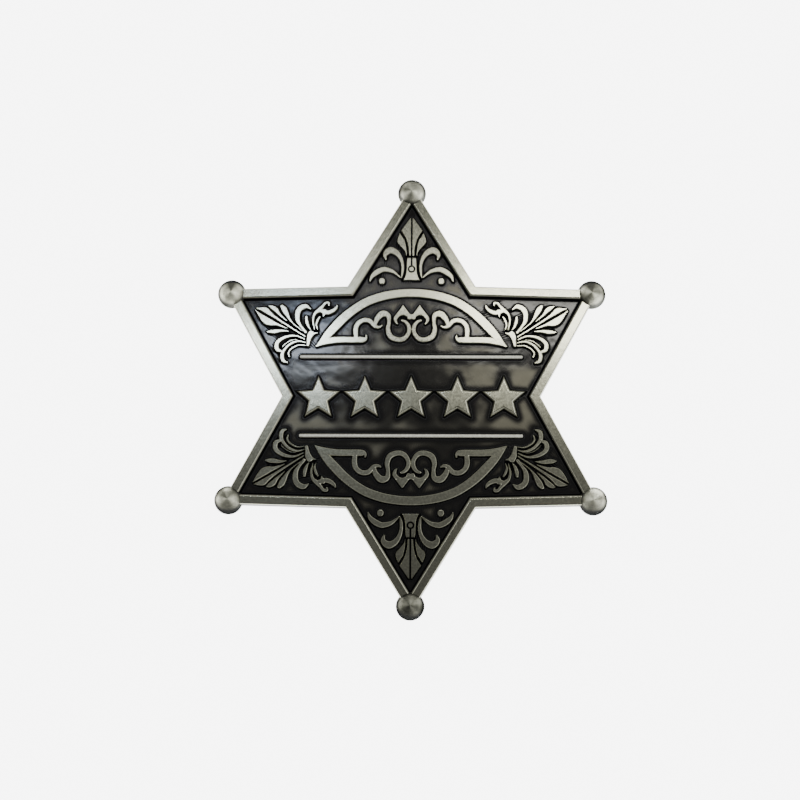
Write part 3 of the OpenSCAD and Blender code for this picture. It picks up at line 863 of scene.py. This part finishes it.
def ground_group():
    """Waves the ground a little and notes how far each point lies from the nearest wall."""
    tree, given, result = new_group("rubbed ground", "GeometryNodeTree", [
        ("Plate", "Geometry", None), ("Ground Height", "Float", 0.0), ("Wave", "Float", 0.00002),
        ("Palmettes", "Object", None), ("Scrolls", "Object", None), ("Petals", "Object", None),
        ("Spines", "Object", None), ("Arches", "Object", None), ("Bars", "Object", None),
        ("Stars", "Object", None), ("Edge Distance", "Float", 0.0),
        ("Material", "Material", None),
    ], [("Plate", "Geometry")])
    walls = add_node(tree, "GeometryNodeJoinGeometry").inputs[0]
    for label in ("Palmettes", "Scrolls", "Petals", "Spines", "Arches", "Bars", "Stars"):
        piece = add_node(tree, "GeometryNodeObjectInfo", {"Object": given[label]})
        tree.links.new(piece.outputs["Geometry"], walls)
    place = add_node(tree, "GeometryNodeInputPosition").outputs[0]
    near = add_node(tree, "GeometryNodeProximity", {0: walls.node.outputs[0]},
                    target_element="FACES").outputs["Distance"]
    here = axes(tree, place)
    # Each point is folded into the half arm it lies in, and measured to that half arm's edge.
    turn = maths(tree, "PINGPONG", maths(tree, "ARCTAN2", here["X"], here["Y"]), half_turn)
    reach = add_node(tree, "ShaderNodeVectorMath", {
        0: vector_maths(tree, "MULTIPLY", place, (1, 1, 0))}, operation="LENGTH")
    far = maths(tree, "MULTIPLY", reach.outputs["Value"],
                maths(tree, "COSINE", maths(tree, "SUBTRACT", turn, EDGE_TURN)))
    to_rim = maths(tree, "SUBTRACT", given["Edge Distance"], far)
    open_ground = maths(tree, "MINIMUM", near, to_rim)
    noted = add_node(tree, "GeometryNodeStoreNamedAttribute", {
        "Geometry": given["Plate"], "Name": "open_ground", "Value": open_ground},
        data_type="FLOAT", domain="POINT").outputs[0]
    on_ground = add_node(tree, "FunctionNodeCompare", {
        "A": maths(tree, "ABSOLUTE", maths(tree, "SUBTRACT", here["Z"],
                                           given["Ground Height"])),
        "B": LEVEL_WITHIN}, data_type="FLOAT", operation="LESS_THAN").outputs[0]
    swirl = add_node(tree, "ShaderNodeTexNoise", {"Scale": 420.0, "Detail": 3.0}).outputs["Fac"]
    rise = maths(tree, "MULTIPLY", maths(tree, "SUBTRACT", swirl, 0.5), given["Wave"])
    lift = add_node(tree, "ShaderNodeCombineXYZ", {2: rise}).outputs[0]
    waved = add_node(tree, "GeometryNodeSetPosition", {
        "Geometry": noted, "Selection": on_ground, "Offset": lift}).outputs[0]
    soft = add_node(tree, "GeometryNodeSetShadeSmooth", {0: waved, "Shade Smooth": True}).outputs[0]
    angle = add_node(tree, "GeometryNodeInputMeshEdgeAngle").outputs["Unsigned Angle"]
    gentle = add_node(tree, "FunctionNodeCompare", {"A": angle, "B": PLATE_FOLD},
                      data_type="FLOAT", operation="LESS_THAN").outputs[0]
    soft = add_node(tree, "GeometryNodeSetShadeSmooth", {
        "Geometry": soft, "Shade Smooth": gentle}, domain="EDGE").outputs[0]
    coat = add_node(tree, "GeometryNodeSetMaterial", {
        "Geometry": soft, "Material": given["Material"]}).outputs[0]
    tree.links.new(coat, result.inputs["Plate"])
    return tree


def plate_metal():
    """The casting metal with its darkened ground: black by the walls, rubbed in the open."""
    material = cast_metal("plate metal", ground_z + RIM_DARK_TO, ground_z + RIM_BRIGHT_FROM,
                          wear=0.1)
    tree = material.node_tree
    shader = tree.nodes["Principled BSDF"]
    finish = tree.nodes["Group"].outputs
    place = add_node(tree, "ShaderNodeTexCoord").outputs["Object"]
    far = add_node(tree, "ShaderNodeAttribute", attribute_name="open_ground").outputs["Fac"]
    opened = ramp(tree, far, BLACK_TO, OPEN_FROM)
    # Rubbed patches lie well away from any wall.
    cloud = add_node(tree, "ShaderNodeTexNoise", {
        "Vector": place, "W": PATCH_PATTERN, "Scale": 90.0, "Detail": 2.0, "Roughness": 0.5},
        noise_dimensions="4D").outputs["Fac"]
    patchy = ramp(tree, cloud, 0.45, 0.62)
    wide = ramp(tree, far, PATCH_FROM, PATCH_TO)
    patch = maths(tree, "MULTIPLY", maths(tree, "MULTIPLY_ADD", patchy, 0.88, 0.12), wide)
    ground = blend(tree, patch, blend(tree, opened, BLACKENED, OPEN_GREY), RUBBED_PATCH)
    dull = maths(tree, "MULTIPLY_ADD", patch, 0.15,
                 maths(tree, "MULTIPLY_ADD", opened, -0.43, 0.5))
    # Patina in the open is no longer bare metal, so it also scatters a little light.
    bare = maths(tree, "MULTIPLY_ADD", opened, -0.5, 1.0)
    for socket, low, high, kind in (("Base Color", ground, finish["Color"], "RGBA"),
                                    ("Roughness", dull, finish["Roughness"], "FLOAT"),
                                    ("Metallic", bare, 1.0, "FLOAT")):
        tree.links.new(blend(tree, finish["Rubbed"], low, high, kind), shader.inputs[socket])
    return material


plate = grow("star_plate", plate_mesh(), ground_group(), {
    "Ground Height": ground_z, "Wave": GROUND_WAVE, "Palmettes": palmettes,
    "Scrolls": lily_scrolls, "Petals": side_petals, "Spines": lily_spines, "Arches": arches,
    "Bars": bars, "Stars": row_stars,
    "Edge Distance": edge_dist - RIM_SECTION[-1][0] * MM}, plate_metal())
cast_piece(plate)


# PIN CLASP
# A steel pin with its hinge and catch on a base strip, soldered to the back and plated.

clasp_metal = bpy.data.materials.new("plated steel")
clasp_metal.use_nodes = True
clasp_shader = clasp_metal.node_tree.nodes["Principled BSDF"]
clasp_shader.inputs["Base Color"].default_value = (0.62, 0.61, 0.58, 1)
clasp_shader.inputs["Metallic"].default_value = 1.0
clasp_shader.inputs["Roughness"].default_value = 0.3
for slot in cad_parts["pin_clasp"].material_slots:
    slot.material = clasp_metal


# FLOOR AND LIGHT
# A pale table top, lit evenly, in a soft room; bright strips mirror in the flats of the badge.

FLOOR_HALF = 1.5
FLOOR_GLOW = 6.5
PANEL_Z = 0.85

floor_mesh = bpy.data.meshes.new("floor")
floor_mesh.from_pydata([(-FLOOR_HALF, -FLOOR_HALF, 0), (FLOOR_HALF, -FLOOR_HALF, 0),
                        (FLOOR_HALF, FLOOR_HALF, 0), (-FLOOR_HALF, FLOOR_HALF, 0)],
                       [], [(0, 1, 2, 3)])
floor = add_object("floor", floor_mesh)
floor_paint = bpy.data.materials.new("pale table")
floor_paint.use_nodes = True
floor_shader = floor_paint.node_tree.nodes["Principled BSDF"]
floor_shader.inputs["Base Color"].default_value = (0.93, 0.93, 0.93, 1)
floor_shader.inputs["Roughness"].default_value = 0.9
floor_shader.inputs["Emission Color"].default_value = (1.0, 1.0, 1.0, 1)
floor_shader.inputs["Emission Strength"].default_value = FLOOR_GLOW
floor_mesh.materials.append(floor_paint)

# The room is dim straight above, where the camera stands, and brightest behind and to the sides.
world = bpy.data.worlds.new("studio")
bpy.context.scene.world = world
world.use_nodes = True
air = world.node_tree
sky = air.nodes["Background"]
direction = axes(air, add_node(air, "ShaderNodeTexCoord").outputs["Generated"])
to_right = maths(air, "MULTIPLY_ADD", direction["X"], 0.5, 0.9)
behind = ramp(air, direction["Y"], -0.25, 0.25, 0.2, 1.3)
aside = ramp(air, maths(air, "ABSOLUTE", direction["X"]), 0.2, 0.5, 0.0, 1.6)
high = ramp(air, direction["Z"], 0.6, 0.8)
room = blend(air, high, 0.45, maths(air, "ADD", behind, aside), "FLOAT")
glow = ramp(air, direction["Z"], 0.87, 0.97, 1.0, 0.15)
air.links.new(maths(air, "MULTIPLY", glow, maths(air, "MULTIPLY", room, to_right)),
              sky.inputs["Strength"])
sky.inputs["Color"].default_value = (1.0, 1.0, 1.0, 1)

# Narrow strips hang above, facing down, beyond the top of the badge. The flats of its upper arms
# mirror them, and those of its lower arms don't.
# Columns: name, place, width, depth, power, colour
PANELS = [
    ("left strip", (-0.096, 0.1695, PANEL_Z), 0.108, 0.0145, 0.052, (1.0, 0.98, 0.90)),
    ("right strip", (0.080, 0.1865, PANEL_Z), 0.132, 0.027, 0.185, (1.0, 0.99, 0.91)),
    ("top strip", (-0.012, 0.206, PANEL_Z), 0.07, 0.022, 0.015, (1.0, 0.99, 0.95)),
    ("window", (-0.078, 0.180, PANEL_Z + 0.03), 0.045, 0.026, 0.07, (0.60, 0.75, 1.0)),
]
for name, place, width, depth, power, colour in PANELS:
    light = bpy.data.lights.new(name, "AREA")
    light.shape = "RECTANGLE"
    light.size = width
    light.size_y = depth
    light.energy = power
    light.color = colour
    panel = bpy.data.objects.new(name, light)
    panel.location = place
    bpy.context.scene.collection.objects.link(panel)


# CAMERA
# Nearly straight above the badge, from its lower side, as far off as the photograph was taken.

CAMERA_DISTANCE = 0.450
SENSOR_MM = 36.0
CAMERA_TILT = math.radians(9.3)
CAMERA_ASIDE = math.radians(-0.7)
CAMERA_ROLL = math.radians(-0.15)
PIXELS_PER_MM = 4.97
FRAME_PIXELS = 800
MIDDLE_PIXEL = (411.2, 398.25)

camera_data = bpy.data.cameras.new("camera")
camera_data.sensor_width = SENSOR_MM
camera_data.lens = SENSOR_MM * PIXELS_PER_MM * CAMERA_DISTANCE / MM / FRAME_PIXELS
camera_data.shift_x = (FRAME_PIXELS / 2 - MIDDLE_PIXEL[0]) / FRAME_PIXELS
camera_data.shift_y = (MIDDLE_PIXEL[1] - FRAME_PIXELS / 2) / FRAME_PIXELS
camera_data.clip_start = 0.01
camera = bpy.data.objects.new("camera", camera_data)
camera.location = Vector((0, 0, back_z)) + CAMERA_DISTANCE * Vector((
    -math.sin(CAMERA_ASIDE), -math.sin(CAMERA_TILT) * math.cos(CAMERA_ASIDE),
    math.cos(CAMERA_TILT) * math.cos(CAMERA_ASIDE)))
camera.rotation_mode = "ZYX"
camera.rotation_euler = (CAMERA_TILT, -CAMERA_ASIDE, -CAMERA_ROLL)
bpy.context.scene.collection.objects.link(camera)
bpy.context.scene.camera = camera
